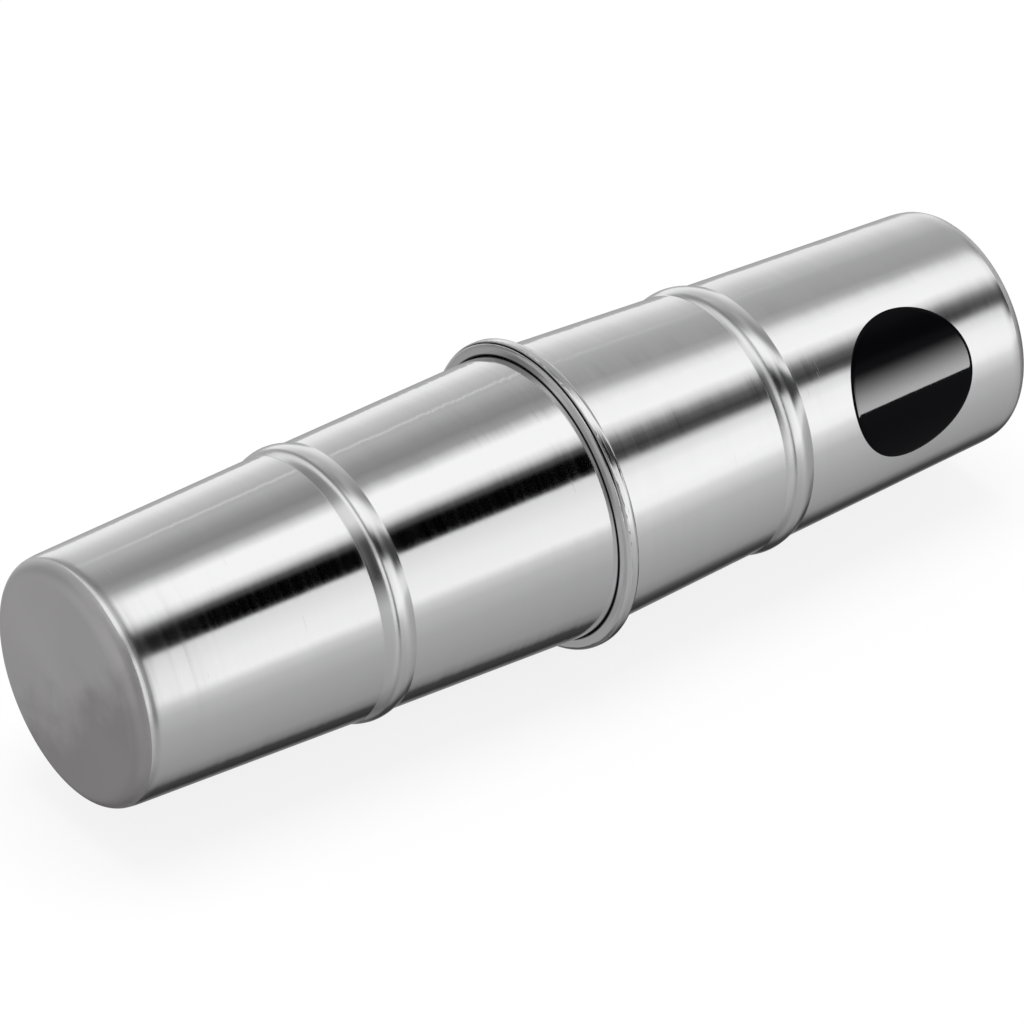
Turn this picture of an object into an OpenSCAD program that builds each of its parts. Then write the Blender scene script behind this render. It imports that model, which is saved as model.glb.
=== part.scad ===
// A ganza: two drawn aluminium cups joined mouth to mouth, with loose steel shot inside.
// The axis lies along X, the rim rests on z = 0, and x = 0 is halfway between the end discs.
// The near cup reaches to -X and the far cup, which carries the badge, to +X.

/* [Body] */
// Length over both end discs
body_len = 250; // [220:0.1:300]
// Radius that the wall would have at the end disc
end_r = 28.7; // [27:0.1:30]
// Radius of the wall under each bead's crest
bead_wall_r = 31.45; // [30.5:0.05:32.5]
// Radius that the wall would have at the seam
mouth_r = 33.8; // [33:0.1:34.4]
// Thickness of the sheet
sheet_t = 1.2; // [0.8:0.05:1.3]
// Outer radius of the bend between the wall and the end disc
corner_r = 4.4; // [2:0.1:8]

/* [Beads] */
// Distance from the near end disc to the crest of the near cup's bead
near_bead_place = 66.1; // [50:0.1:80]
// Distance from the far end disc to the crest of the far cup's bead
far_bead_place = 72.2; // [50:0.1:85]
// Height of a bead over the wall
bead_h = 0.95; // [0.5:0.05:1.5]
// Half the width of a bead
bead_half_w = 4.1; // [3:0.1:7]

/* [Seam] */
// Distance from the near end disc to the plane where the two flanges meet
seam_place = 126.7; // [110:0.1:140]
// Radius of the hollow bend between each wall and its flange
flange_bend_r = 1.3; // [0.8:0.05:1.6]
// Width of the near cup's flange beyond its bend
flange_w = 0.25; // [0.1:0.05:1.5]
// Gap between the near flange and the lip folded over it
lip_gap = 0.4; // [0.2:0.05:0.6]
// Inner radius of the lip's two bends
lip_inner_r = 0.4; // [0.2:0.05:0.5]
// Clearance at the lip's free end and at the near flange's edge
seam_clear = 0.1; // [0.05:0.05:0.2]

/* [Badge] */
// Radius of the round badge
badge_r = 18; // [10:0.5:22]
// Thickness of the badge
badge_t = 0.2; // [0.1:0.05:0.5]
// Thickness of the glue under the badge
badge_glue_t = 0.05; // [0.02:0.01:0.1]
// Distance from the far end disc to the badge's middle
badge_place = 36.3; // [26:0.1:50]
// Angle of the badge about the axis, from the top towards -Y
badge_angle = 69; // [0:1:180]

/* [Shot] */
// Radius of a steel ball
shot_r = 2.25; // [1.8:0.05:2.5]
// Clearance between neighbouring balls, and between a ball and the wall
shot_gap = 0.3; // [0.2:0.05:0.5]
// Balls in the widest row of the heap's lower layer
heap_balls = 5; // [4:1:7]
// Rows from the heap's middle row to its last, which is even to keep the ends alike
heap_reach = 5; // [3:1:7]
// Rows from the loose layer's middle row to its last
loose_reach = 4; // [2:1:5]
// Balls in the widest row of the layer that lies along the wall
bed_balls = 3; // [2:1:5]
// Rows in each group of that layer
bed_rows = 3; // [3:2:5]

/* [Hidden] */
$fn = 96;
arc_steps = 10;
bead_steps = 14;
cut_share = 1.1;
badge_sides = 96;

half_len = body_len / 2;
near_len = seam_place;
far_len = body_len - seam_place;
lip_face = 2 * sheet_t + lip_gap;
lip_bend_r = sheet_t + lip_inner_r;
badge_band = badge_r * cut_share;
badge_lift = badge_glue_t + badge_t;

shot_pitch = 2 * shot_r + shot_gap;
row_pitch = shot_pitch * sin(60);
heap_half = heap_reach * row_pitch;
group_pitch = (bed_rows - 1) * row_pitch + shot_pitch;
bed_room = half_len - corner_r - heap_half - shot_pitch;
bed_groups = floor(bed_room / group_pitch);

// Outer radius of a cup's wall at a distance from its end disc, its bead left out.
function wall_r(place, len, bead) =
    place < bead
        ? end_r + (bead_wall_r - end_r) * place / bead
        : bead_wall_r + (mouth_r - bead_wall_r) * (place - bead) / (len - bead);

// Rise of a bead at a distance along the wall from its crest.
function bead_rise(along) =
    abs(along) < bead_half_w ? bead_h * (1 + cos(180 * along / bead_half_w)) / 2 : 0;

// Points of an arc about a centre, each as radius and place.
function arc(centre, r, from, to) =
    [for (i = [0:arc_steps])
        let (a = from + (to - from) * i / arc_steps)
        [centre[0] + r * cos(a), centre[1] + r * sin(a)]];

// Points along a wall from its corner to its flange, drawn in by a share of the sheet.
function wall_points(len, bead, inset) =
    [for (i = [0:bead_steps])
        let (along = bead_half_w * (2 * i / bead_steps - 1))
        [wall_r(bead + along, len, bead) + bead_rise(along) - inset, bead + along]];

function corner_centre(len, bead) = [wall_r(corner_r, len, bead) - corner_r, corner_r];

function flange_centre(len, bead) =
    let (place = len - sheet_t - flange_bend_r)
    [wall_r(place, len, bead) + flange_bend_r, place];

// Outside of a cup, from the middle of its disc to its flange's back.
function outside(len, bead) = concat(
    [[0, 0]],
    arc(corner_centre(len, bead), corner_r, -90, 0),
    wall_points(len, bead, 0),
    arc(flange_centre(len, bead), flange_bend_r, 180, 90));

// Inside of a cup, from its flange's face to the middle of its disc.
function inside(len, bead) = concat(
    arc(flange_centre(len, bead), flange_bend_r + sheet_t, 90, 180),
    [for (i = [bead_steps:-1:0]) wall_points(len, bead, sheet_t)[i]],
    arc(corner_centre(len, bead), corner_r - sheet_t, 0, -90),
    [[0, sheet_t]]);

near_bend_end_r = flange_centre(near_len, near_bead_place)[0];
near_flange_r = near_bend_end_r + flange_w;
fold_r = near_flange_r + seam_clear;
rim_r = fold_r + lip_bend_r;

// Radius where the lip ends, clear of the near cup's hollow bend.
lip_depth = flange_bend_r - lip_gap;
lip_end_r = near_bend_end_r - sqrt(pow(flange_bend_r, 2) - pow(lip_depth, 2)) + seam_clear;

// Edge of the near cup's flange.
function near_edge() = [[near_flange_r, near_len - sheet_t], [near_flange_r, near_len]];

// Lip of the far cup, folded over the near cup's flange.
function far_lip() =
    let (
        back = far_len - sheet_t + lip_bend_r,
        front = far_len + lip_face - lip_bend_r
    )
    concat(
        arc([fold_r, back], lip_bend_r, -90, 0),
        arc([fold_r, front], lip_bend_r, 0, 90),
        [[lip_end_r, far_len + lip_face], [lip_end_r, far_len + lip_face - sheet_t]],
        arc([fold_r, front], lip_bend_r - sheet_t, 90, 0),
        arc([fold_r, back], lip_bend_r - sheet_t, 0, -90));

// Turns a solid built on Z, with its end disc at the bottom, to lie from the near end to +X.
module from_near_end() {
    translate([-half_len, 0, rim_r]) rotate([0, 90, 0]) children();
}

// The same from the far end to -X.
module from_far_end() {
    translate([half_len, 0, rim_r]) rotate([0, -90, 0]) children();
}

module near_cup() {
    color("silver") from_near_end()
        rotate_extrude()
            polygon(concat(
                outside(near_len, near_bead_place),
                near_edge(),
                inside(near_len, near_bead_place)));
}

module far_cup() {
    color("silver") from_far_end()
        rotate_extrude()
            polygon(concat(
                outside(far_len, far_bead_place),
                far_lip(),
                inside(far_len, far_bead_place)));
}

// Outline of a round badge laid on a wall of a given radius, seen from straight above it.
function badge_outline(r) =
    [for (i = [0:badge_sides - 1])
        let (a = 360 * i / badge_sides, around = badge_r * cos(a) / r * 180 / PI)
        [badge_r * sin(a), r * sin(around)]];

// A thin band that follows the far cup's wall, cut to the badge's outline.
module badge() {
    low = badge_place - badge_band;
    high = badge_place + badge_band;
    low_r = wall_r(low, far_len, far_bead_place);
    high_r = wall_r(high, far_len, far_bead_place);
    color("black") intersection() {
        from_far_end()
            rotate_extrude()
                polygon([
                    [low_r + badge_glue_t, low],
                    [low_r + badge_lift, low],
                    [high_r + badge_lift, high],
                    [high_r + badge_glue_t, high]]);
        translate([half_len - badge_place, 0, rim_r])
            rotate([badge_angle, 0, 0])
                linear_extrude(height = mouth_r * cut_share)
                    polygon(badge_outline(wall_r(badge_place, far_len, far_bead_place)));
    }
}

// Radius of the cavity's wall at a place along X.
function cavity_r(x) =
    x < seam_place - half_len
        ? wall_r(half_len + x, near_len, near_bead_place) - sheet_t
        : wall_r(half_len - x, far_len, far_bead_place) - sheet_t;

// Distance from the axis to the middle of a ball on the wall.
function bed_r(x) = cavity_r(x) - shot_gap - shot_r;

loose_r = bed_r(heap_half) - 2 * shot_pitch;

// A row of balls side by side across the bottom of the cavity.
module shot_row(x, r, count) {
    step = 2 * asin(shot_pitch / 2 / r);
    for (i = [0:count - 1])
        translate([x, 0, rim_r])
            rotate([step * (i - (count - 1) / 2), 0, 0])
                translate([0, 0, -r])
                    sphere(r = shot_r);
}

// Staggered rows about the seam, one layer of the heap.
module heap_layer(layer, reach) {
    color("dimgray") for (row = [-reach:reach])
        let (x = row * row_pitch, r = layer < 2 ? bed_r(x) - layer * shot_pitch : loose_r)
        shot_row(x, r, heap_balls - layer - abs(row) % 2);
}

// A group of rows along the wall, counted from the heap towards one end.
module bed_group(side, group) {
    color("dimgray") for (row = [0:bed_rows - 1])
        let (x = side * (heap_half + shot_pitch + (group - 1) * group_pitch + row * row_pitch))
        shot_row(x, bed_r(x), bed_balls - (row + 1) % 2);
}

module shot_heap_lower() {
    heap_layer(0, heap_reach);
}

module shot_heap_upper() {
    heap_layer(1, heap_reach);
}

module shot_loose() {
    heap_layer(2, loose_reach);
}

near_cup();
far_cup();
badge();
shot_heap_lower();
shot_heap_upper();
shot_loose();
for (group = [1:bed_groups]) {
    bed_group(-1, group);
    bed_group(1, group);
}
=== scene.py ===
"""Looks of a ganza shaker: two aluminium cups crimped mouth to mouth, a black badge and loose steel shot.

Lengths are in metres in the part's own frame. The axis lies along X, the rim rests on z = 0, and the
near cup reaches to -X. On a cup or the badge, a place is a distance from the cup's own end disc.
"""

import logging
import math
from collections.abc import Iterable, Mapping
from dataclasses import dataclass
from enum import Enum
from typing import Any

import bmesh
import bpy
from bmesh.types import BMesh, BMFace, BMVert
from bpy.types import Material, Node, NodeSocket, NodeTree, Object
from mathutils import Euler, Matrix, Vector


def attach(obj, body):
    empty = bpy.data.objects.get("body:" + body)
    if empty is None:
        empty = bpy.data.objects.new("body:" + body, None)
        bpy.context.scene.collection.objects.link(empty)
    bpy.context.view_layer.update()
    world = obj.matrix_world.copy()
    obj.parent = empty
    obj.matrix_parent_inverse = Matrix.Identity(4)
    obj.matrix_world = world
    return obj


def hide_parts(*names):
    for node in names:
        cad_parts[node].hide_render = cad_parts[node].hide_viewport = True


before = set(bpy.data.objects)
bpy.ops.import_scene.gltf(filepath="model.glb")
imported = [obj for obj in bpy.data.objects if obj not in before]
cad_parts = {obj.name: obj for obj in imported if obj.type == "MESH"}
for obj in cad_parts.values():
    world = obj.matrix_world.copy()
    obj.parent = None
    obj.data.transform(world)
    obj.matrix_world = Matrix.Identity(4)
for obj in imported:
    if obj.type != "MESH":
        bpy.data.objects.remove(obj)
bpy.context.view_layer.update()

MM = 0.001
# Half the length over both end discs, and the near cup's length up to the plane of the seam.
HALF_LEN = 125.0 * MM
NEAR_LENGTH = 126.7 * MM
# Height of the axis, which is the rim's outer radius.
AXIS_Z = 36.953 * MM
# Steps in a full turn, the distance within which vertices merge, and the least turn of a sharp edge.
TURN_STEPS = 288
MERGE = 1e-7
SHARP_ANGLE = 35.0
# Nearly all the values of a noise lie between these.
NOISE_LOW, NOISE_HIGH = 0.3, 0.7
WHITE = (1.0, 1.0, 1.0, 1.0)

log = logging.getLogger("ganza")


class Side(Enum):
    """The end that a cup closes. The value points from its end disc to the seam."""

    NEAR = 1
    FAR = -1


class Coat(Enum):
    """Material slots of a cup, in order."""

    POLISHED = 0
    SPUN = 1
    DRAWN = 2
    ROLLED = 3


def linear(code: str) -> tuple[float, float, float, float]:
    """Turns an sRGB hex colour into linear light.

    Args:
        code: Six hex digits, such as "E4E4E6".

    Returns:
        Red, green, blue and an alpha of 1.
    """
    parts = [int(code[i:i + 2], 16) / 255 for i in (0, 2, 4)]
    light = [c / 12.92 if c <= 0.04045 else ((c + 0.055) / 1.055) ** 2.4 for c in parts]
    return light[0], light[1], light[2], 1.0


def add_node(
    tree: NodeTree, kind: str, values: Mapping[str | int, Any] | None = None, **settings: Any,
) -> Node:
    """Adds a node with its settings, input values and links.

    Args:
        tree: The node tree to add it to.
        kind: The node's type name.
        values: Each input's name or number, with its value or the output socket that feeds it.
        **settings: The node's own properties.

    Returns:
        The new node.
    """
    node = tree.nodes.new(kind)
    for name, setting in settings.items():
        setattr(node, name, setting)
    for name, value in (values or {}).items():
        if isinstance(value, NodeSocket):
            tree.links.new(value, node.inputs[name])
        else:
            node.inputs[name].default_value = value
    return node


def new_material(name: str) -> tuple[Material, NodeTree]:
    """Makes an empty node material.

    Args:
        name: The finish's name.

    Returns:
        The material and its node tree.
    """
    material = bpy.data.materials.new(name)
    material.use_nodes = True
    material.node_tree.nodes.clear()
    return material, material.node_tree


def half_section(tree: NodeTree, place: NodeSocket) -> NodeSocket:
    """Turns Object coordinates into a point of the half-section.

    Args:
        tree: The material's nodes.
        place: The Object coordinates.

    Returns:
        The place along the axis as X and the radius as Y.
    """
    centred = add_node(
        tree, "ShaderNodeVectorMath", {0: place, 1: (0, 0, AXIS_Z)}, operation="SUBTRACT")
    flat = add_node(
        tree, "ShaderNodeVectorMath", {0: centred.outputs[0], 1: (0, 1, 1)}, operation="MULTIPLY")
    radius = add_node(tree, "ShaderNodeVectorMath", {0: flat.outputs[0]}, operation="LENGTH")
    along = add_node(tree, "ShaderNodeSeparateXYZ", {0: place}).outputs["X"]
    return add_node(
        tree, "ShaderNodeCombineXYZ", {"X": along, "Y": radius.outputs["Value"]}).outputs[0]


@dataclass(frozen=True)
class PolishedAluminium:
    """Aluminium sheet, drawn and buffed on a lathe: a mirror with fine turning lines round the axis.

    The lines tilt the mirror along the axis only, which frays the reflections away from the middle. They
    are deepest about deep_x, beside the seam. Real lines and scratches are too fine to show, so both are
    drawn as coarse as they need to be. The buff barely reaches the beads and the ends, which are duller.
    """

    colour: str = "F4F4F5"
    roughness: tuple[float, float] = (0.0525, 0.0975)
    line_pitch: float = 1.2 * MM
    line_length: float = 60.0 * MM
    line_depth: float = 0.035 * MM
    line_detail: float = 2.0
    deep_x: float = -14.0 * MM
    deep_half_w: float = 11.0 * MM
    deep_fade: float = 7.0 * MM
    shallow_share: float = 0.4
    wave_pitch: float = 8.0 * MM
    wave_length: float = 55.0 * MM
    wave_depth: float = 0.16 * MM
    wave_detail: float = 1.5
    end_roughness: float = 0.09
    end_from: float = 98.0 * MM
    end_to: float = 120.0 * MM
    bead_roughness: float = 0.09
    bead_from: float = 3.4 * MM
    bead_to: float = 5.4 * MM
    scratch_width: float = 0.3 * MM
    scratch_length: float = 9.0 * MM
    scratch_detail: float = 1.0
    scratch_turn: float = 0.5
    scratch_from: float = 0.77
    scratch_to: float = 0.8
    scratch_roughness: float = 0.2

    def build(self) -> Material:
        """Makes the material.

        Returns:
            The finish of both cups' walls.
        """
        material, tree = new_material("buffed_aluminium")
        place = add_node(tree, "ShaderNodeTexCoord").outputs["Object"]
        along = add_node(tree, "ShaderNodeSeparateXYZ", {0: place}).outputs["X"]
        lines = self.noise(tree, place, self.line_pitch, self.line_length, self.line_detail)
        waves = self.noise(tree, place, self.wave_pitch, self.wave_length, self.wave_detail)
        share = add_node(
            tree, "ShaderNodeMapRange",
            {"Value": self.distance(tree, along, self.deep_x), "From Min": self.deep_half_w,
             "From Max": self.deep_half_w + self.deep_fade, "To Min": 1.0, "To Max": self.shallow_share})
        cut = add_node(
            tree, "ShaderNodeMath", {0: lines, 1: share.outputs[0]}, operation="MULTIPLY")
        low = add_node(
            tree, "ShaderNodeBump", {"Height": waves, "Distance": self.wave_depth, "Strength": 1.0})
        fine = add_node(
            tree, "ShaderNodeBump",
            {"Height": cut.outputs[0], "Distance": self.line_depth, "Strength": 1.0,
             "Normal": low.outputs[0]})
        shader = add_node(
            tree, "ShaderNodeBsdfPrincipled",
            {"Base Color": linear(self.colour), "Metallic": 1.0,
             "Roughness": self.dullness(tree, place, along, lines), "Normal": fine.outputs[0]})
        add_node(tree, "ShaderNodeOutputMaterial", {"Surface": shader.outputs[0]})
        return material

    def noise(
        self, tree: NodeTree, place: NodeSocket, pitch: float, length: float, detail: float,
        turn: float = 0.0,
    ) -> NodeSocket:
        """Adds a noise drawn out round the axis.

        Args:
            tree: The material's nodes.
            place: The Object coordinates.
            pitch: Distance between the lines, along the axis.
            length: Their length.
            detail: The noise's octaves.
            turn: Radians by which the lines are turned about each axis.

        Returns:
            The noise, from 0 to 1.
        """
        drawn = add_node(
            tree, "ShaderNodeMapping",
            {"Vector": place, "Rotation": (turn, turn, turn),
             "Scale": (1 / pitch, 1 / length, 1 / length)})
        return add_node(
            tree, "ShaderNodeTexNoise",
            {"Vector": drawn.outputs[0], "Scale": 1.0, "Detail": detail, "Roughness": 0.5}).outputs["Fac"]

    def distance(self, tree: NodeTree, along: NodeSocket, x: float) -> NodeSocket:
        """Adds the distance along the axis from a given X."""
        away = add_node(tree, "ShaderNodeMath", {0: along, 1: x}, operation="SUBTRACT")
        return add_node(tree, "ShaderNodeMath", {0: away.outputs[0]}, operation="ABSOLUTE").outputs[0]

    def dullness(
        self, tree: NodeTree, place: NodeSocket, along: NodeSocket, lines: NodeSocket,
    ) -> NodeSocket:
        """Adds up the roughness: the buff's own, the duller ends and beads, and a few thin scratches.

        Args:
            tree: The material's nodes.
            place: The Object coordinates.
            along: The place along the axis.
            lines: The turning lines.

        Returns:
            The roughness.
        """
        buffed = add_node(
            tree, "ShaderNodeMapRange",
            {"Value": lines, "From Min": NOISE_LOW, "From Max": NOISE_HIGH,
             "To Min": self.roughness[0], "To Max": self.roughness[1]})
        ends = add_node(
            tree, "ShaderNodeMapRange",
            {"Value": self.distance(tree, along, 0.0), "From Min": self.end_from,
             "From Max": self.end_to, "To Min": 0.0, "To Max": self.end_roughness})
        scratches = self.noise(
            tree, place, self.scratch_width, self.scratch_length, self.scratch_detail, self.scratch_turn)
        marks = add_node(
            tree, "ShaderNodeMapRange",
            {"Value": scratches, "From Min": self.scratch_from, "From Max": self.scratch_to,
             "To Min": 0.0, "To Max": self.scratch_roughness})
        parts = [ends, marks]
        for cup in (near_shape(), far_shape()):
            parts.append(add_node(
                tree, "ShaderNodeMapRange",
                {"Value": self.distance(tree, along, cup.crest_x()), "From Min": self.bead_from,
                 "From Max": self.bead_to, "To Min": self.bead_roughness, "To Max": 0.0},
                interpolation_type="SMOOTHSTEP"))
        total = buffed
        for part in parts:
            total = add_node(
                tree, "ShaderNodeMath", {0: total.outputs[0], 1: part.outputs[0]}, operation="ADD")
        return total.outputs[0]


@dataclass(frozen=True)
class RolledAluminium:
    """The rim's metal, squeezed by a crimping roller: bright, with close uneven streaks and one nick.

    The streaks follow the roller round the axis, both on the rim's crest and down its face, and are drawn
    wider than real ones, to show. The groove over the top and the lip's edge are darkened with painted
    shade, which draws two thin dark lines.
    """

    colour: str = "F3F3F4"
    roughness: tuple[float, float] = (0.06, 0.18)
    streak: float = 0.6 * MM
    streak_depth: float = 0.07 * MM
    streak_shift: float = 2.4 * MM
    drift: float = 14.0 * MM
    nick_angle: float = 57.5
    nick_x: float = -2.0 * MM
    nick_radius: float = 36.6 * MM
    nick_size: float = 0.5 * MM
    nick_floor: float = 0.15 * MM
    nick_depth: float = 0.28 * MM
    # Dark colour of the painted shade in the groove and along the lip's edge.
    crease_shade: str = "2E2F31"
    crease_shade_core: float = 0.14 * MM
    crease_shade_w: float = 0.42 * MM
    crease_shade_from: float = 12.0 * MM
    crease_shade_to: float = 26.0 * MM

    def build(self) -> Material:
        """Makes the material.

        Returns:
            The finish of the rim.
        """
        material, tree = new_material("rolled_aluminium")
        place = add_node(tree, "ShaderNodeTexCoord").outputs["Object"]
        section = half_section(tree, place)
        drift = add_node(
            tree, "ShaderNodeTexNoise", {"Vector": place, "Scale": 1 / self.drift, "Detail": 2.0})
        slide = add_node(
            tree, "ShaderNodeMath", {0: drift.outputs["Fac"], 1: self.streak_shift}, operation="MULTIPLY")
        moved = add_node(
            tree, "ShaderNodeVectorMath", {0: section, 1: slide.outputs[0]}, operation="ADD")
        streaks = add_node(
            tree, "ShaderNodeTexNoise",
            {"Vector": moved.outputs[0], "Scale": 1 / self.streak, "Detail": 2.0, "Roughness": 0.55},
            noise_dimensions="2D")
        turn = math.radians(self.nick_angle)
        spot = (
            self.nick_x, -self.nick_radius * math.sin(turn),
            AXIS_Z + self.nick_radius * math.cos(turn))
        away = add_node(tree, "ShaderNodeVectorMath", {0: place, 1: spot}, operation="DISTANCE")
        nick = add_node(
            tree, "ShaderNodeMapRange",
            {"Value": away.outputs["Value"], "From Min": self.nick_floor, "From Max": self.nick_size,
             "To Min": -self.nick_depth / self.streak_depth, "To Max": 0.0})
        height = add_node(
            tree, "ShaderNodeMath", {0: streaks.outputs["Fac"], 1: nick.outputs[0]}, operation="ADD")
        bump = add_node(
            tree, "ShaderNodeBump",
            {"Height": height.outputs[0], "Distance": self.streak_depth, "Strength": 1.0})
        gloss = add_node(
            tree, "ShaderNodeMapRange",
            {"Value": streaks.outputs["Fac"], "From Min": NOISE_LOW, "From Max": NOISE_HIGH,
             "To Min": self.roughness[0], "To Max": self.roughness[1]})
        # Painted shade: the colour darkens in the groove over the top and along the lip's edge.
        tone = add_node(
            tree, "ShaderNodeMix",
            {"Factor": self.crease_shade_share(tree, place, section), "A": linear(self.colour),
             "B": linear(self.crease_shade)},
            data_type="RGBA")
        shader = add_node(
            tree, "ShaderNodeBsdfPrincipled",
            {"Base Color": tone.outputs["Result"], "Metallic": 1.0, "Roughness": gloss.outputs[0],
             "Normal": bump.outputs[0]})
        add_node(tree, "ShaderNodeOutputMaterial", {"Surface": shader.outputs[0]})
        return material

    def crease_shade_share(self, tree: NodeTree, place: NodeSocket, section: NodeSocket) -> NodeSocket:
        """Tells where the painted shade lies: in the groove over the top and along the lip's edge.

        Args:
            tree: The material's nodes.
            place: The Object coordinates.
            section: The point of the half-section.

        Returns:
            How much of the metal the painted shade darkens.
        """
        cup = far_shape()
        lines = []
        for spot in (cup.groove_spot(), cup.edge_spot()):
            away = add_node(
                tree, "ShaderNodeVectorMath", {0: section, 1: (*spot, 0)}, operation="DISTANCE")
            lines.append(add_node(
                tree, "ShaderNodeMapRange",
                {"Value": away.outputs["Value"], "From Min": self.crease_shade_core,
                 "From Max": self.crease_shade_w, "To Min": 1.0, "To Max": 0.0}).outputs[0])
        middle = math.radians(cup.crimp.groove_middle)
        across = add_node(
            tree, "ShaderNodeVectorMath",
            {0: place, 1: (0, -math.sin(middle), math.cos(middle))}, operation="DOT_PRODUCT")
        level = AXIS_Z * math.cos(middle)
        over = add_node(
            tree, "ShaderNodeMapRange",
            {"Value": across.outputs["Value"], "From Min": level + self.crease_shade_from,
             "From Max": level + self.crease_shade_to})
        groove = add_node(tree, "ShaderNodeMath", {0: lines[0], 1: over.outputs[0]}, operation="MULTIPLY")
        return add_node(
            tree, "ShaderNodeMath", {0: groove.outputs[0], 1: lines[1]}, operation="MAXIMUM").outputs[0]


@dataclass(frozen=True)
class SpunAluminium:
    """The same sheet left as spun on the end discs: dull, with rings about the axis and soft blotches.

    The rings draw the light out into faint fans that meet in the middle; the lower side has painted shade.
    Real rings are about 0.3 mm apart, too fine to show, and are drawn coarser.
    """

    name: str = "spun_aluminium"
    colour: str = "F1EFF0"
    shade: str = "CDCACB"
    roughness: tuple[float, float] = (0.357, 0.483)
    anisotropy: float = 0.6
    ring_pitch: float = 0.8 * MM
    ring_depth: float = 0.006 * MM
    blotch: float = 13.0 * MM
    # Direction, wandering edge and reach of the painted shade on the lower side.
    shade_angle: float = 140.0
    shade_wander: float = 22.0 * MM
    shade_from: float = 7.0 * MM
    shade_to: float = 24.0 * MM

    def build(self) -> Material:
        """Makes the material.

        Returns:
            The finish of a cup's end disc.
        """
        material, tree = new_material(self.name)
        place = add_node(tree, "ShaderNodeTexCoord").outputs["Object"]
        radius = add_node(tree, "ShaderNodeSeparateXYZ", {0: half_section(tree, place)})
        rings = add_node(
            tree, "ShaderNodeTexNoise",
            {"W": radius.outputs["Y"], "Scale": 1 / self.ring_pitch, "Detail": 2.0},
            noise_dimensions="1D")
        blotches = add_node(
            tree, "ShaderNodeTexNoise",
            {"Vector": place, "Scale": 1 / self.blotch, "Detail": 3.0, "Roughness": 0.6})
        bump = add_node(
            tree, "ShaderNodeBump",
            {"Height": rings.outputs["Fac"], "Distance": self.ring_depth, "Strength": 1.0})
        gloss = add_node(
            tree, "ShaderNodeMapRange",
            {"Value": blotches.outputs["Fac"], "From Min": NOISE_LOW, "From Max": NOISE_HIGH,
             "To Min": self.roughness[0], "To Max": self.roughness[1]})
        # Painted shade: the colour darkens towards the lower side, along a wandering edge.
        down = math.radians(self.shade_angle)
        across = add_node(
            tree, "ShaderNodeVectorMath",
            {0: place, 1: (0, -math.sin(down), math.cos(down))}, operation="DOT_PRODUCT")
        uneven = add_node(
            tree, "ShaderNodeMath", {0: blotches.outputs["Fac"], 1: self.shade_wander},
            operation="MULTIPLY")
        edge = add_node(
            tree, "ShaderNodeMath", {0: across.outputs["Value"], 1: uneven.outputs[0]}, operation="ADD")
        level = AXIS_Z * math.cos(down)
        share = add_node(
            tree, "ShaderNodeMapRange",
            {"Value": edge.outputs[0], "From Min": level + self.shade_from,
             "From Max": level + self.shade_to},
            interpolation_type="SMOOTHSTEP")
        tone = add_node(
            tree, "ShaderNodeMix",
            {"Factor": share.outputs[0], "A": linear(self.colour), "B": linear(self.shade)},
            data_type="RGBA")
        ring_way = add_node(tree, "ShaderNodeTangent", direction_type="RADIAL", axis="X")
        shader = add_node(
            tree, "ShaderNodeBsdfPrincipled",
            {"Base Color": tone.outputs["Result"], "Metallic": 1.0, "Roughness": gloss.outputs[0],
             "Anisotropic": self.anisotropy, "Tangent": ring_way.outputs[0],
             "Normal": bump.outputs[0]})
        add_node(tree, "ShaderNodeOutputMaterial", {"Surface": shader.outputs[0]})
        return material


@dataclass(frozen=True)
class BlackVinyl:
    """Cast vinyl with a clear gloss film: deep black, and a mirror with a slight orange peel.

    The mirror is held down so far that the studio leaves the badge black, and only its own softbox shows.
    """

    colour: str = "030304"
    roughness: float = 0.05
    ior: float = 1.5
    specular: float = 0.04
    peel: float = 2.5 * MM
    peel_depth: float = 0.002 * MM

    def build(self) -> Material:
        """Makes the material.

        Returns:
            The finish of the badge.
        """
        material, tree = new_material("black_gloss_vinyl")
        place = add_node(tree, "ShaderNodeTexCoord").outputs["Object"]
        peel = add_node(
            tree, "ShaderNodeTexNoise", {"Vector": place, "Scale": 1 / self.peel, "Detail": 2.0})
        bump = add_node(
            tree, "ShaderNodeBump",
            {"Height": peel.outputs["Fac"], "Distance": self.peel_depth, "Strength": 1.0})
        shader = add_node(
            tree, "ShaderNodeBsdfPrincipled",
            {"Base Color": linear(self.colour), "Roughness": self.roughness, "IOR": self.ior,
             "Specular IOR Level": self.specular, "Normal": bump.outputs[0]})
        add_node(tree, "ShaderNodeOutputMaterial", {"Surface": shader.outputs[0]})
        return material


@dataclass(frozen=True)
class ShotSteel:
    """Bare carbon steel balls, tumbled against each other: grey, half bright, with small dull patches."""

    colour: str = "BDBDC0"
    dull: str = "9A9896"
    roughness: tuple[float, float] = (0.18, 0.45)
    patch: float = 1.2 * MM
    patch_from: float = 0.35
    patch_to: float = 0.65

    def build(self) -> Material:
        """Makes the material.

        Returns:
            The finish of the shot.
        """
        material, tree = new_material("tumbled_steel")
        place = add_node(tree, "ShaderNodeTexCoord").outputs["Object"]
        patches = add_node(
            tree, "ShaderNodeTexNoise", {"Vector": place, "Scale": 1 / self.patch, "Detail": 4.0})
        gloss = add_node(
            tree, "ShaderNodeMapRange",
            {"Value": patches.outputs["Fac"], "From Min": self.patch_from, "From Max": self.patch_to,
             "To Min": self.roughness[0], "To Max": self.roughness[1]})
        tone = add_node(
            tree, "ShaderNodeMix",
            {"Factor": patches.outputs["Fac"], "A": linear(self.colour), "B": linear(self.dull)},
            data_type="RGBA")
        shader = add_node(
            tree, "ShaderNodeBsdfPrincipled",
            {"Base Color": tone.outputs["Result"], "Metallic": 1.0, "Roughness": gloss.outputs[0]})
        add_node(tree, "ShaderNodeOutputMaterial", {"Surface": shader.outputs[0]})
        return material


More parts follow.
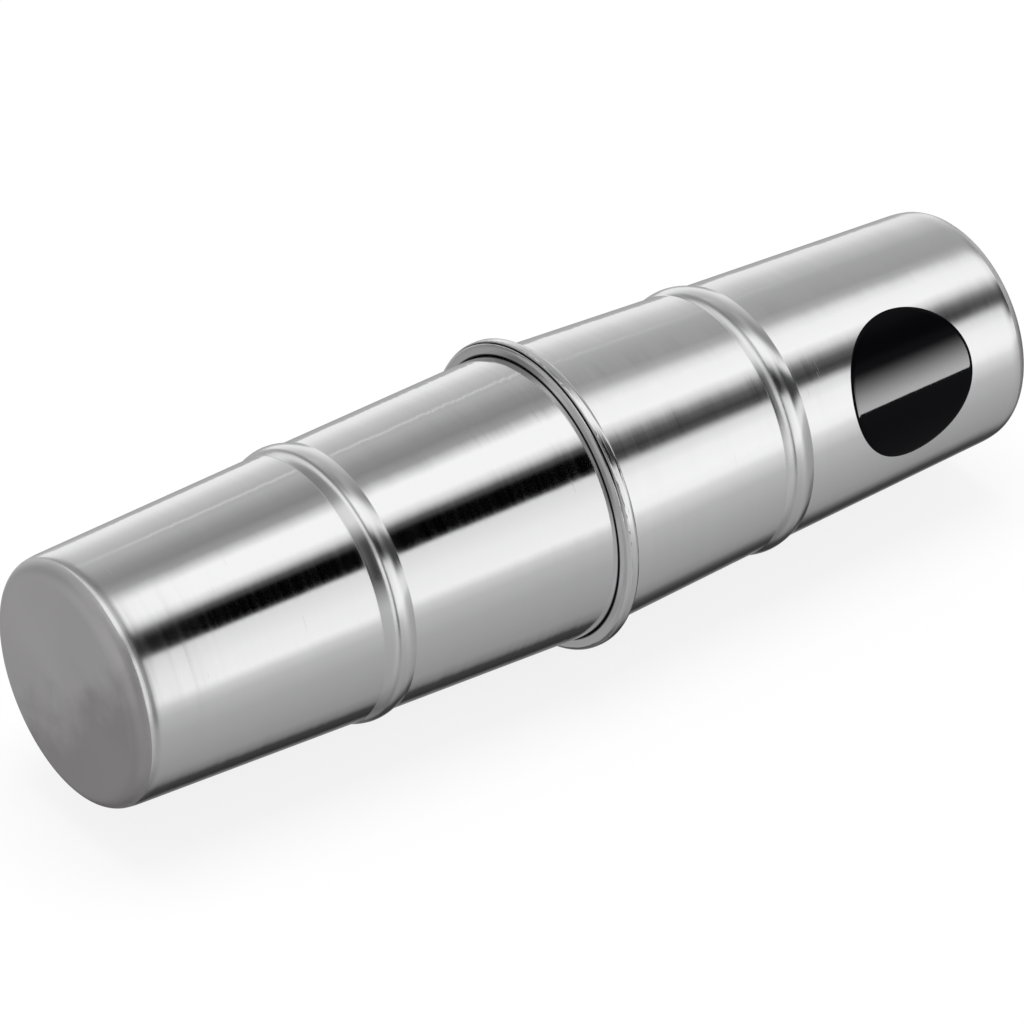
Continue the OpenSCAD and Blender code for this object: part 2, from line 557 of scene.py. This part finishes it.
@dataclass(frozen=True)
class Crimp:
    """Sizes of the seam, where the far cup's mouth is folded over the near cup's flange.

    The groove is on the lip's front bend. Its arc is counted along the bend, from the bend's start, and
    its angles go about the axis from straight up, in degrees.
    """

    sheet: float = 1.2 * MM
    hollow_r: float = 1.3 * MM
    flange: float = 0.25 * MM
    gap: float = 0.4 * MM
    fold_inner_r: float = 0.4 * MM
    clearance: float = 0.1 * MM
    press: float = 0.26 * MM
    groove_w: float = 0.9 * MM
    groove_depth: float = 0.4 * MM
    groove_arc: float = 1.0 * MM
    groove_middle: float = 10.0
    groove_end: float = 72.0
    groove_fade: float = 30.0
    back_steps: int = 2
    top_steps: int = 5
    face_steps: int = 3
    bend_steps: int = 12
    front_bend_steps: int = 24

    @property
    def fold_r(self) -> float:
        """Outer radius of the fold's two bends."""
        return self.sheet + self.fold_inner_r

    @property
    def face(self) -> float:
        """Distance from the seam's plane to the fold's front face."""
        return 2 * self.sheet + self.gap


class SectionPen:
    """Draws a half-section as a chain of edges, from the middle of an end disc outwards."""

    def __init__(self, side: Side) -> None:
        """Starts at the middle of an end disc.

        Args:
            side: The end that the section starts from.
        """
        self.side = side
        self.mesh = bmesh.new()
        self.tip = self.mesh.verts.new(self.spot(0.0, 0.0))

    def spot(self, place: float, radius: float) -> Vector:
        """Turns a place and a radius into a point above the axis."""
        return Vector((self.side.value * (place - HALF_LEN), 0.0, AXIS_Z + radius))

    def line(self, place: float, radius: float, steps: int = 1) -> None:
        """Draws a straight run.

        Args:
            place: Where the run ends, from the end disc.
            radius: The radius where it ends.
            steps: Edges in the run.
        """
        start, end = self.tip.co.copy(), self.spot(place, radius)
        for step in range(1, steps + 1):
            made = bmesh.ops.extrude_vert_indiv(self.mesh, verts=[self.tip])
            self.tip = made["verts"][0]
            self.tip.co = start.lerp(end, step / steps)

    def arc(self, place: float, radius: float, turn: float, steps: int) -> None:
        """Sweeps the tip about a centre.

        Args:
            place: The centre's distance from the end disc.
            radius: The centre's radius.
            turn: Degrees to turn, positive from the end disc towards the outside.
            steps: Edges in the arc.
        """
        made = bmesh.ops.spin(
            self.mesh, geom=[self.tip], cent=self.spot(place, radius), axis=(0, 1, 0),
            angle=math.radians(turn * self.side.value), steps=steps)
        self.tip = next(v for v in made["geom_last"] if isinstance(v, BMVert))


@dataclass
class Cup:
    """One cup: a flat end disc with a round corner, a tapered wall with a bead, and its share of the rim.

    A short lead at both ends of each straight stretch keeps smooth shading out of it.
    """

    name: str
    side: Side
    length: float
    bead_place: float
    crimp: Crimp = Crimp()
    end_r: float = 28.7 * MM
    bead_wall_r: float = 31.45 * MM
    mouth_r: float = 33.8 * MM
    disc_ring: float = 0.3 * MM
    disc_steps: int = 24
    corner_r: float = 4.4 * MM
    corner_steps: int = 22
    spun_share: float = 0.74
    buffed_rise: float = 0.3 * MM
    shoulder_w: float = 2.6 * MM
    shoulder_tilt: float = 10.0
    shoulder_steps: int = 8
    bead_h: float = 0.95 * MM
    bead_half_w: float = 4.1 * MM
    bead_steps: int = 28
    wall_step: float = 4.0 * MM
    lead: float = 0.08 * MM

    def wall_r(self, place: float) -> float:
        """Outer radius of the wall at a place, without the bead."""
        if place < self.bead_place:
            return self.end_r + (self.bead_wall_r - self.end_r) * place / self.bead_place
        share = (place - self.bead_place) / (self.length - self.bead_place)
        return self.bead_wall_r + (self.mouth_r - self.bead_wall_r) * share

    def crest_x(self) -> float:
        """Place of the bead's crest along X."""
        return self.side.value * (self.bead_place - HALF_LEN)

    def bead_rise(self, along: float) -> float:
        """Height of the bead over the wall at a distance from its crest."""
        return self.bead_h * math.cos(math.pi * along / (2 * self.bead_half_w))

    def shoulder_start(self) -> float:
        """Place where the round corner passes into the shoulder."""
        return self.corner_r * (1 - math.sin(math.radians(self.shoulder_tilt)))

    def draw_end(self, pen: SectionPen) -> None:
        """Draws the disc, its round corner, and the shoulder where the wall bends in towards the corner.

        Args:
            pen: The pen, with its tip at the middle of the end disc.
        """
        tilt, start, width = math.radians(self.shoulder_tilt), self.shoulder_start(), self.shoulder_w
        end = self.wall_r(start + width)
        steep, slope = math.tan(tilt), (end - self.wall_r(start)) / width
        foot = end - (steep + slope) / 2 * width
        corner = foot - self.corner_r * math.cos(tilt)
        pen.line(0.0, corner - self.disc_ring, self.disc_steps)
        pen.line(0.0, corner)
        pen.arc(self.corner_r, corner, 90 - self.shoulder_tilt, self.corner_steps)
        for step in range(1, self.shoulder_steps + 1):
            along = width * step / self.shoulder_steps
            pen.line(start + along, foot + steep * along + (slope - steep) * along ** 2 / (2 * width))

    def draw_wall(self, pen: SectionPen, start: float, end: float) -> None:
        """Draws a straight stretch of the wall, in steps short enough to shade evenly.

        Args:
            pen: The pen, with its tip at the stretch's start.
            start: Place where the stretch starts.
            end: Place where it ends.
        """
        pen.line(start + self.lead, self.wall_r(start + self.lead))
        last = end - self.lead
        pen.line(last, self.wall_r(last), max(1, round((end - start) / self.wall_step)))
        pen.line(end, self.wall_r(end))

    def draw_section(self) -> BMesh:
        """Draws the outer face of the sheet, from the end disc to the edge of the flange or lip.

        Returns:
            A mesh of one chain of edges.
        """
        pen, crimp = SectionPen(self.side), self.crimp
        self.draw_end(pen)
        first, last = self.bead_place - self.bead_half_w, self.bead_place + self.bead_half_w
        self.draw_wall(pen, self.shoulder_start() + self.shoulder_w, first)
        inner = [first + (last - first) * step / self.bead_steps for step in range(1, self.bead_steps)]
        for place in (first + self.lead, *inner, last - self.lead, last):
            pen.line(place, self.wall_r(place) + self.bead_rise(place - self.bead_place))
        hollow = self.length - crimp.sheet - crimp.hollow_r
        hollow_r = self.wall_r(hollow) + crimp.hollow_r
        self.draw_wall(pen, last, hollow)
        pen.arc(hollow, hollow_r, -90, crimp.bend_steps)
        flange_r = hollow_r + crimp.flange
        if self.side is Side.NEAR:
            pen.line(self.length - crimp.sheet, flange_r, crimp.back_steps)
        else:
            self.draw_lip(pen)
        return pen.mesh

    def lip_fold_r(self) -> float:
        """Radius of the centres of the lip's two bends, just outside the near cup's flange."""
        crimp = self.crimp
        near_hollow = NEAR_LENGTH - crimp.sheet - crimp.hollow_r
        near_wall_r = near_shape().wall_r(near_hollow)
        return near_wall_r + crimp.hollow_r + crimp.flange + crimp.clearance

    def lip_end_r(self) -> float:
        """Radius where the lip's inner face ends, clear of the near cup's hollow bend."""
        crimp = self.crimp
        depth = crimp.hollow_r - crimp.gap
        return self.lip_fold_r() - crimp.flange - math.sqrt(crimp.hollow_r ** 2 - depth ** 2)

    def groove_spot(self) -> tuple[float, float]:
        """Point of the half-section at the bottom of the lip's groove, as X and radius."""
        crimp = self.crimp
        turn = crimp.groove_arc / crimp.fold_r
        reach = crimp.fold_r - crimp.groove_depth
        place = self.length + crimp.face - crimp.fold_r + reach * math.sin(turn)
        return self.side.value * (place - HALF_LEN), self.lip_fold_r() + reach * math.cos(turn)

    def edge_spot(self) -> tuple[float, float]:
        """Point of the half-section at the lip's free edge, as X and radius."""
        return (
            self.side.value * (self.length + self.crimp.face - HALF_LEN),
            self.lip_end_r() - self.crimp.press)

    def draw_lip(self, pen: SectionPen) -> None:
        """Draws the lip that the far cup folds over the near cup's flange.

        Args:
            pen: The pen, with its tip at the end of the hollow bend.
        """
        crimp, fold = self.crimp, self.lip_fold_r()
        back = self.length - crimp.sheet + crimp.fold_r
        front = self.length + crimp.face - crimp.fold_r
        pen.line(self.length - crimp.sheet, fold, crimp.back_steps)
        pen.arc(back, fold, 90, crimp.bend_steps)
        pen.line(front, fold + crimp.fold_r, crimp.top_steps)
        pen.arc(front, fold, 90, crimp.front_bend_steps)
        pen.line(self.length + crimp.face, self.lip_end_r(), crimp.face_steps)

    def build(self, coats: Mapping[Coat, Material]) -> Object:
        """Spins the section, gives the sheet its thickness, and dresses it.

        Args:
            coats: The material of each slot.

        Returns:
            The finished cup, which stands for the CAD node of the same name.
        """
        shell = self.draw_section()
        bmesh.ops.spin(
            shell, geom=shell.verts[:] + shell.edges[:], cent=(0, 0, AXIS_Z), axis=(1, 0, 0),
            angle=math.tau, steps=TURN_STEPS, use_merge=True)
        bmesh.ops.remove_doubles(shell, verts=shell.verts, dist=MERGE)
        bmesh.ops.recalc_face_normals(shell, faces=shell.faces)
        # Solidify grows against the normals, so they point outwards here.
        disc = max(shell.faces, key=lambda face: -self.side.value * face.calc_center_median().x)
        if disc.normal.x * self.side.value > 0:
            bmesh.ops.reverse_faces(shell, faces=shell.faces)
        outer = set(shell.faces)
        bmesh.ops.solidify(shell, geom=shell.faces, thickness=self.crimp.sheet)
        if self.side is Side.FAR:
            self.press_lip(shell, {vert for face in outer for vert in face.verts})
        for face in shell.faces:
            face.smooth = True
            face.material_index = self.coat_of(face, face in outer).value
        return finish_piece(shell, self.name, "shell", coats.values())

    def press_lip(self, shell: BMesh, outer: set[BMVert]) -> None:
        """Closes the lip's free edge on the near wall, and rolls a shallow groove into its upper side.

        Args:
            shell: The cup's mesh.
            outer: The vertices of its outer face.
        """
        shell.normal_update()
        crimp = self.crimp
        front = self.length + crimp.face - crimp.fold_r
        half = crimp.groove_w / 2
        for vert in outer:
            place = HALF_LEN + self.side.value * vert.co.x
            radius = math.hypot(vert.co.y, vert.co.z - AXIS_Z)
            if place > self.length and radius < self.lip_end_r() + crimp.clearance / 2:
                centre = Vector((vert.co.x, 0, AXIS_Z))
                vert.co = centre + (vert.co - centre) * (1 - crimp.press / radius)
                continue
            arc = math.atan2(place - front, radius - self.lip_fold_r()) * crimp.fold_r
            away = abs(arc - crimp.groove_arc)
            if radius < self.lip_fold_r() or away > half:
                continue
            turn = math.degrees(math.atan2(-vert.co.y, vert.co.z - AXIS_Z))
            left = crimp.groove_end - abs(turn - crimp.groove_middle)
            fade = min(1.0, max(0.0, left / crimp.groove_fade))
            vert.co -= vert.normal * crimp.groove_depth * fade * math.cos(math.pi * away / (2 * half)) ** 2

    def coat_of(self, face: BMFace, outer: bool) -> Coat:
        """Tells which finish a face has.

        Args:
            face: A face of the sheet.
            outer: Whether it lies on the outside.

        Returns:
            The finish: drawn inside, rolled on the rim, spun on the end disc and its corner, else polished.
        """
        if not outer:
            return Coat.DRAWN
        centre = face.calc_center_median()
        place = HALF_LEN + self.side.value * centre.x
        if math.hypot(centre.y, centre.z - AXIS_Z) > self.mouth_r + self.buffed_rise:
            return Coat.ROLLED
        return Coat.SPUN if place < self.spun_share * self.corner_r else Coat.POLISHED


def near_shape() -> Cup:
    """Returns the near cup's sizes."""
    return Cup("near_cup", Side.NEAR, length=NEAR_LENGTH, bead_place=66.1 * MM)


def far_shape() -> Cup:
    """Returns the far cup's sizes."""
    return Cup("far_cup", Side.FAR, length=2 * HALF_LEN - NEAR_LENGTH, bead_place=72.2 * MM)


def finish_piece(
    mesh: BMesh, node: str, body: str, finishes: Iterable[Material],
) -> Object:
    """Turns a bmesh into a piece that rides on a body and stands for a CAD node.

    Args:
        mesh: The finished mesh, in the part's frame.
        node: The CAD node that it stands for and is named after.
        body: The body that it rides on.
        finishes: The materials, in the order of the mesh's own slots.

    Returns:
        The new object, which lies at the origin.
    """
    data = bpy.data.meshes.new(f"{node}_form")
    mesh.to_mesh(data)
    mesh.free()
    data.set_sharp_from_angle(angle=math.radians(SHARP_ANGLE))
    for material in finishes:
        data.materials.append(material)
    piece = bpy.data.objects.new(f"{node}_form", data)
    bpy.context.scene.collection.objects.link(piece)
    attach(piece, body)
    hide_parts(node)
    log.info("%s: %d faces", piece.name, len(data.polygons))
    return piece


@dataclass
class Badge:
    """A round vinyl badge, laid on the far cup's wall."""

    cup: Cup
    radius: float = 18.0 * MM
    thickness: float = 0.2 * MM
    bevel: float = 0.05 * MM
    edge_turn: float = 60.0
    glue: float = 0.05 * MM
    place: float = 36.3 * MM
    angle: float = 69.0
    rings: int = 18
    sides: int = 128

    def wrap(self, point: Vector) -> Vector:
        """Lays a point of the flat badge on the wall.

        Args:
            point: A point with x along the axis and y round the wall.

        Returns:
            The point on the wall, over the glue.
        """
        turn = math.radians(self.angle) + point.y / self.cup.wall_r(self.place)
        radius = self.cup.wall_r(self.place - point.x) + self.glue
        return Vector((
            HALF_LEN - self.place + point.x,
            -radius * math.sin(turn),
            AXIS_Z + radius * math.cos(turn)))

    def middle(self) -> Vector:
        """Returns the point of the wall under the badge's middle."""
        return self.wrap(Vector((0, 0, 0)))

    def build(self, vinyl: Material) -> Object:
        """Spins a flat disc, lays it on the wall and gives it its thickness.

        Args:
            vinyl: The badge's material.

        Returns:
            The finished badge.
        """
        disc = bmesh.new()
        tip = disc.verts.new((0, 0, 0))
        for ring in range(1, self.rings + 1):
            tip = bmesh.ops.extrude_vert_indiv(disc, verts=[tip])["verts"][0]
            tip.co.x = self.radius * ring / self.rings
        bmesh.ops.spin(
            disc, geom=disc.verts[:] + disc.edges[:], cent=(0, 0, 0), axis=(0, 0, 1),
            angle=math.tau, steps=self.sides, use_merge=True)
        bmesh.ops.remove_doubles(disc, verts=disc.verts, dist=MERGE)
        for vert in disc.verts:
            vert.co = self.wrap(vert.co)
        bmesh.ops.recalc_face_normals(disc, faces=disc.faces)
        # Solidify grows against the normals, so they point to the axis here.
        out = Vector((0, -math.sin(math.radians(self.angle)), math.cos(math.radians(self.angle))))
        if sum((face.normal for face in disc.faces), Vector()).dot(out) > 0:
            bmesh.ops.reverse_faces(disc, faces=disc.faces)
        bmesh.ops.solidify(disc, geom=disc.faces, thickness=self.thickness)
        rim = [edge for edge in disc.edges if edge.calc_face_angle(0) > math.radians(self.edge_turn)]
        bmesh.ops.bevel(
            disc, geom=rim, offset=self.bevel, segments=2, profile=0.5, affect="EDGES", material=-1)
        for face in disc.faces:
            face.smooth = True
        return finish_piece(disc, "badge", "shell", [vinyl])


@dataclass
class Shot:
    """The loose shot, whose CAD nodes are already round and only get their finish."""

    prefix: str = "shot_"

    def dress(self, steel: Material) -> None:
        """Puts the steel on every node of shot.

        Args:
            steel: The shot's material.
        """
        nodes = [node for name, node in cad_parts.items() if name.startswith(self.prefix)]
        for node in nodes:
            node.data.materials.clear()
            node.data.materials.append(steel)
        log.info("shot: %d nodes", len(nodes))


@dataclass(frozen=True)
class Band:
    """A level of light at an angle about X, counted from straight up towards -Y."""

    angle: float
    level: float


# What the polished metal mirrors: the floor, a dark gap, the lit backdrop, the dim ceiling, the overhead
# softbox, a black flag, the front softbox, and the floor again. Levels are set in coarse steps.
NEAR_BANDS = (
    Band(-180, 0.2), Band(-172, 0.05), Band(-156, 0.03), Band(-136, 0.3), Band(-101, 0.45),
    Band(-98, 0.9), Band(-86, 0.85), Band(-70, 0.6), Band(-54, 0.45), Band(-52, 0.65),
    Band(-50, 0.45), Band(-45, 0.45), Band(-30, 0.3), Band(-20, 0.25), Band(-10, 0.35),
    Band(2, 1.0), Band(20, 1.0), Band(26, 0.7), Band(32, 0.1), Band(37, 0.0), Band(50, 0.0),
    Band(52, 0.05), Band(55, 0.75), Band(75, 0.9), Band(92, 0.95), Band(99, 0.65), Band(108, 0.5),
    Band(126, 0.4), Band(168, 0.3), Band(180, 0.2),
)
FAR_BANDS = (
    Band(-180, 0.3), Band(-172, 0.2), Band(-164, 0.07), Band(-150, 0.04), Band(-136, 0.3),
    Band(-101, 0.45), Band(-98, 0.85), Band(-84, 0.8), Band(-68, 0.6), Band(-45, 0.4),
    Band(-20, 0.35), Band(-12, 0.45), Band(-4, 0.8), Band(4, 0.95), Band(20, 1.0), Band(28, 0.65),
    Band(33, 0.3), Band(38, 0.12), Band(45, 0.05), Band(50, 0.1), Band(57, 0.75), Band(68, 0.95),
    Band(84, 1.0), Band(94, 0.95), Band(100, 0.75), Band(116, 0.5), Band(140, 0.4), Band(180, 0.3),
)
END_BANDS = (
    Band(-180, 0.3), Band(-140, 0.34), Band(-100, 0.38), Band(-60, 0.4), Band(-20, 0.38),
    Band(10, 0.4), Band(50, 0.36), Band(100, 0.42), Band(140, 0.38), Band(180, 0.3),
)
LEFT_BANDS = (
    Band(-180, 0.3), Band(-140, 0.34), Band(-100, 0.26), Band(-80, 0.17), Band(-45, 0.2),
    Band(-20, 0.5), Band(5, 0.38), Band(30, 0.24), Band(74, 0.2), Band(96, 0.42),
    Band(150, 0.42), Band(180, 0.3),
)
SIDE_BANDS = (
    Band(-180, 0.12), Band(-150, 0.08), Band(-136, 0.3), Band(-101, 0.4), Band(-98, 0.5),
    Band(-75, 0.42), Band(-40, 0.23), Band(-20, 0.2), Band(-5, 0.28), Band(4, 0.75),
    Band(18, 0.8), Band(27, 0.35), Band(34, 0.04), Band(64, 0.03), Band(76, 0.32), Band(86, 0.5),
    Band(98, 0.45), Band(120, 0.4), Band(165, 0.32), Band(180, 0.12),
)
LINE_BANDS = (
    Band(-180, 0.15), Band(-150, 0.1), Band(-120, 0.32), Band(-98, 0.7), Band(-70, 0.8),
    Band(-35, 0.72), Band(-12, 0.78), Band(0, 1.0), Band(24, 1.0), Band(33, 0.52),
    Band(46, 0.52), Band(54, 1.0), Band(92, 0.9), Band(108, 0.55), Band(150, 0.36),
    Band(180, 0.15),
)
DARK_BANDS = (
    Band(-180, 0.15), Band(-136, 0.3), Band(-101, 0.4), Band(-60, 0.25), Band(-20, 0.15),
    Band(0, 0.3), Band(20, 0.25), Band(30, 0.03), Band(100, 0.03), Band(115, 0.3),
    Band(140, 0.33), Band(180, 0.15),
)
RIGHT_BANDS = (
    Band(-180, 0.12), Band(-150, 0.06), Band(-136, 0.3), Band(-101, 0.42), Band(-98, 0.62),
    Band(-75, 0.55), Band(-40, 0.3), Band(-20, 0.24), Band(-8, 0.5), Band(2, 0.85),
    Band(18, 0.88), Band(26, 0.35), Band(31, 0.04), Band(62, 0.02), Band(69, 0.3),
    Band(75, 0.78), Band(92, 0.84), Band(98, 0.5), Band(120, 0.38), Band(165, 0.32),
    Band(180, 0.12),
)
# Where each set of bands takes over, as the X of the mirrored direction, from low to high.
ZONES = (
    (LEFT_BANDS, -0.72, -0.62), (SIDE_BANDS, -0.32, -0.24), (LINE_BANDS, 0.02, 0.07),
    (DARK_BANDS, 0.17, 0.2), (NEAR_BANDS, 0.285, 0.325), (FAR_BANDS, 0.5, 0.62),
    (RIGHT_BANDS, 0.7, 0.84),
)


@dataclass(frozen=True)
class Studio:
    """The plain light: an even sky, one overhead softbox, a pale floor, and what the metal mirrors."""

    sky: float = 0.6
    lamp_height: float = 1.2
    lamp_size: float = 0.7
    lamp_watts: float = 5.5
    floor_size: float = 8.0
    floor_tone: float = 0.8
    floor_white: float = 1.03
    floor_keeps: float = 0.22

    def build_world(self) -> None:
        """Makes the world: white to the camera, banded to the metal, even to the rest."""
        world = bpy.data.worlds.new("studio")
        world.use_nodes = True
        bpy.context.scene.world = world
        tree = world.node_tree
        tree.nodes.clear()
        path = add_node(tree, "ShaderNodeLightPath")
        way = add_node(tree, "ShaderNodeTexCoord").outputs["Generated"]
        parts = add_node(tree, "ShaderNodeSeparateXYZ", {0: way})
        front = add_node(tree, "ShaderNodeMath", {0: parts.outputs["Y"], 1: -1.0}, operation="MULTIPLY")
        angle = add_node(
            tree, "ShaderNodeMath", {0: front.outputs[0], 1: parts.outputs["Z"]}, operation="ARCTAN2")
        share = add_node(
            tree, "ShaderNodeMapRange",
            {"Value": angle.outputs[0], "From Min": -math.pi, "From Max": math.pi})
        level = self.add_bands(tree, share.outputs[0], END_BANDS)
        for bands, low, high in ZONES:
            step = add_node(
                tree, "ShaderNodeMapRange",
                {"Value": parts.outputs["X"], "From Min": low, "From Max": high},
                interpolation_type="SMOOTHSTEP")
            level = add_node(
                tree, "ShaderNodeMix",
                {"Factor": step.outputs[0], "A": level,
                 "B": self.add_bands(tree, share.outputs[0], bands)},
                data_type="RGBA").outputs["Result"]
        plain = add_node(tree, "ShaderNodeBackground", {"Color": WHITE, "Strength": self.sky})
        mirrored = add_node(tree, "ShaderNodeBackground", {"Color": level})
        white = add_node(tree, "ShaderNodeBackground", {"Color": WHITE})
        shiny = add_node(
            tree, "ShaderNodeMath",
            {0: path.outputs["Is Glossy Ray"], 1: path.outputs["Is Transmission Ray"]},
            operation="MAXIMUM")
        lit = add_node(
            tree, "ShaderNodeMixShader",
            {0: shiny.outputs[0], 1: plain.outputs[0], 2: mirrored.outputs[0]})
        seen = add_node(
            tree, "ShaderNodeMixShader",
            {0: path.outputs["Is Camera Ray"], 1: lit.outputs[0], 2: white.outputs[0]})
        add_node(tree, "ShaderNodeOutputWorld", {"Surface": seen.outputs[0]})

    def add_bands(
        self, tree: NodeTree, share: NodeSocket, bands: tuple[Band, ...],
    ) -> NodeSocket:
        """Adds a ramp of bands.

        Args:
            tree: The world's nodes.
            share: The angle about X, as a share of a turn.
            bands: The levels, in order of their angles.

        Returns:
            The level at each angle.
        """
        ramp = add_node(tree, "ShaderNodeValToRGB", {"Fac": share})
        stops = ramp.color_ramp.elements
        while len(stops) < len(bands):
            stops.new(1.0)
        for stop, band in zip(stops, bands):
            stop.position = (band.angle + 180) / 360
            stop.color = (band.level, band.level, band.level, 1)
        return ramp.outputs[0]

    def build_floor(self) -> None:
        """Makes the floor, white to the camera but for the object's soft shadow."""
        mesh = bmesh.new()
        bmesh.ops.create_grid(mesh, x_segments=1, y_segments=1, size=self.floor_size / 2)
        data = bpy.data.meshes.new("floor")
        mesh.to_mesh(data)
        mesh.free()
        floor = bpy.data.objects.new("floor", data)
        bpy.context.scene.collection.objects.link(floor)
        material, tree = new_material("white_paper_floor")
        path = add_node(tree, "ShaderNodeLightPath")
        seen = add_node(
            tree, "ShaderNodeMath",
            {0: path.outputs["Is Camera Ray"], 1: path.outputs["Is Transmission Ray"]},
            operation="MAXIMUM")
        paper, shadow = (
            add_node(tree, "ShaderNodeBsdfDiffuse", {"Color": (tone, tone, tone, 1.0)})
            for tone in (self.floor_tone, self.floor_keeps))
        glow = add_node(
            tree, "ShaderNodeEmission", {"Color": WHITE, "Strength": self.floor_white - self.floor_keeps})
        both = add_node(tree, "ShaderNodeAddShader", {0: shadow.outputs[0], 1: glow.outputs[0]})
        shown = add_node(
            tree, "ShaderNodeMixShader", {0: seen.outputs[0], 1: paper.outputs[0], 2: both.outputs[0]})
        add_node(tree, "ShaderNodeOutputMaterial", {"Surface": shown.outputs[0]})
        data.materials.append(material)
        floor.visible_glossy = False

    def build_lamp(self) -> None:
        """Hangs one overhead softbox, which the metal mirrors through the world's bands alone."""
        light = bpy.data.lights.new("overhead_softbox", "AREA")
        light.size = self.lamp_size
        light.energy = self.lamp_watts
        lamp = bpy.data.objects.new("overhead_softbox", light)
        lamp.location = (0, 0, self.lamp_height)
        lamp.visible_glossy = False
        bpy.context.scene.collection.objects.link(lamp)


@dataclass(frozen=True)
class BadgeLamp:
    """A front softbox, brightest along its lower edge, that shines on the badge alone."""

    width: float = 0.7
    height: float = 0.8
    reach: float = 1.2
    angle: float = 78.0
    along: float = 0.9
    watts: float = 150.0

    def build(self, badge: Object, middle: Vector) -> None:
        """Hangs the softbox in front of the badge, square to the shaker's axis.

        Args:
            badge: The only piece that it lights.
            middle: The badge's middle.
        """
        turn = math.radians(self.angle)
        light = bpy.data.lights.new("badge_softbox", "AREA")
        light.shape = "RECTANGLE"
        light.size, light.size_y, light.energy = self.width, self.height, self.watts
        lamp = bpy.data.objects.new("badge_softbox", light)
        lamp.rotation_euler = Euler((turn, 0, 0))
        lamp.location = middle + Vector(
            (self.along, -self.reach * math.sin(turn), self.reach * math.cos(turn)))
        half = self.height / 2 * math.sin(turn)
        light.use_nodes = True
        tree = light.node_tree
        tree.nodes.clear()
        spot = add_node(tree, "ShaderNodeNewGeometry").outputs["Position"]
        height = add_node(tree, "ShaderNodeSeparateXYZ", {0: spot}).outputs["Z"]
        fade = add_node(
            tree, "ShaderNodeMapRange",
            {"Value": height, "From Min": lamp.location.z - half, "From Max": lamp.location.z + half,
             "To Min": 1.0, "To Max": 0.0},
            interpolation_type="SMOOTHSTEP")
        glow = add_node(tree, "ShaderNodeEmission", {"Strength": fade.outputs[0]})
        add_node(tree, "ShaderNodeOutputLight", {"Surface": glow.outputs[0]})
        lit = bpy.data.collections.new("lit_by_badge_softbox")
        lit.objects.link(badge)
        lamp.light_linking.receiver_collection = lit
        bpy.context.scene.collection.objects.link(lamp)


@dataclass(frozen=True)
class Viewpoint:
    """The photograph's camera: a long lens that looks down along the shaker."""

    target: tuple[float, float, float] = (-0.174 * MM, 0.0, AXIS_Z)
    offset: tuple[float, float, float] = (-606.6 * MM, -798.6 * MM, 655.6 * MM)
    down: float = 33.342
    heading: float = 36.987
    lens: float = 186.89
    sensor: float = 36.0

    def build(self) -> None:
        """Makes the scene's camera."""
        data = bpy.data.cameras.new("camera")
        data.lens = self.lens
        data.sensor_width = self.sensor
        camera = bpy.data.objects.new("camera", data)
        camera.location = Vector(self.target) + Vector(self.offset)
        camera.rotation_euler = Euler((math.radians(90 - self.down), 0, -math.radians(self.heading)))
        bpy.context.scene.collection.objects.link(camera)
        bpy.context.scene.camera = camera


def main() -> None:
    """Builds the scene in order and reports each piece."""
    logging.basicConfig(level=logging.INFO, format="%(name)s: %(message)s")
    bpy.context.scene.view_settings.view_transform = "Standard"
    Viewpoint().build()
    coats = {
        Coat.POLISHED: PolishedAluminium().build(),
        Coat.SPUN: SpunAluminium().build(),
        # The inside's finish carries the same painted shade on its lower side.
        Coat.DRAWN: SpunAluminium("drawn_aluminium", "CFCFD1", "BDBDBF", (0.2975, 0.4025)).build(),
        Coat.ROLLED: RolledAluminium().build(),
    }
    near_shape().build(coats)
    far = far_shape()
    far.build(coats)
    badge = Badge(far)
    badge_piece = badge.build(BlackVinyl().build())
    Shot().dress(ShotSteel().build())
    studio = Studio()
    studio.build_world()
    studio.build_floor()
    studio.build_lamp()
    BadgeLamp().build(badge_piece, badge.middle())


if __name__ == "__main__":
    main()
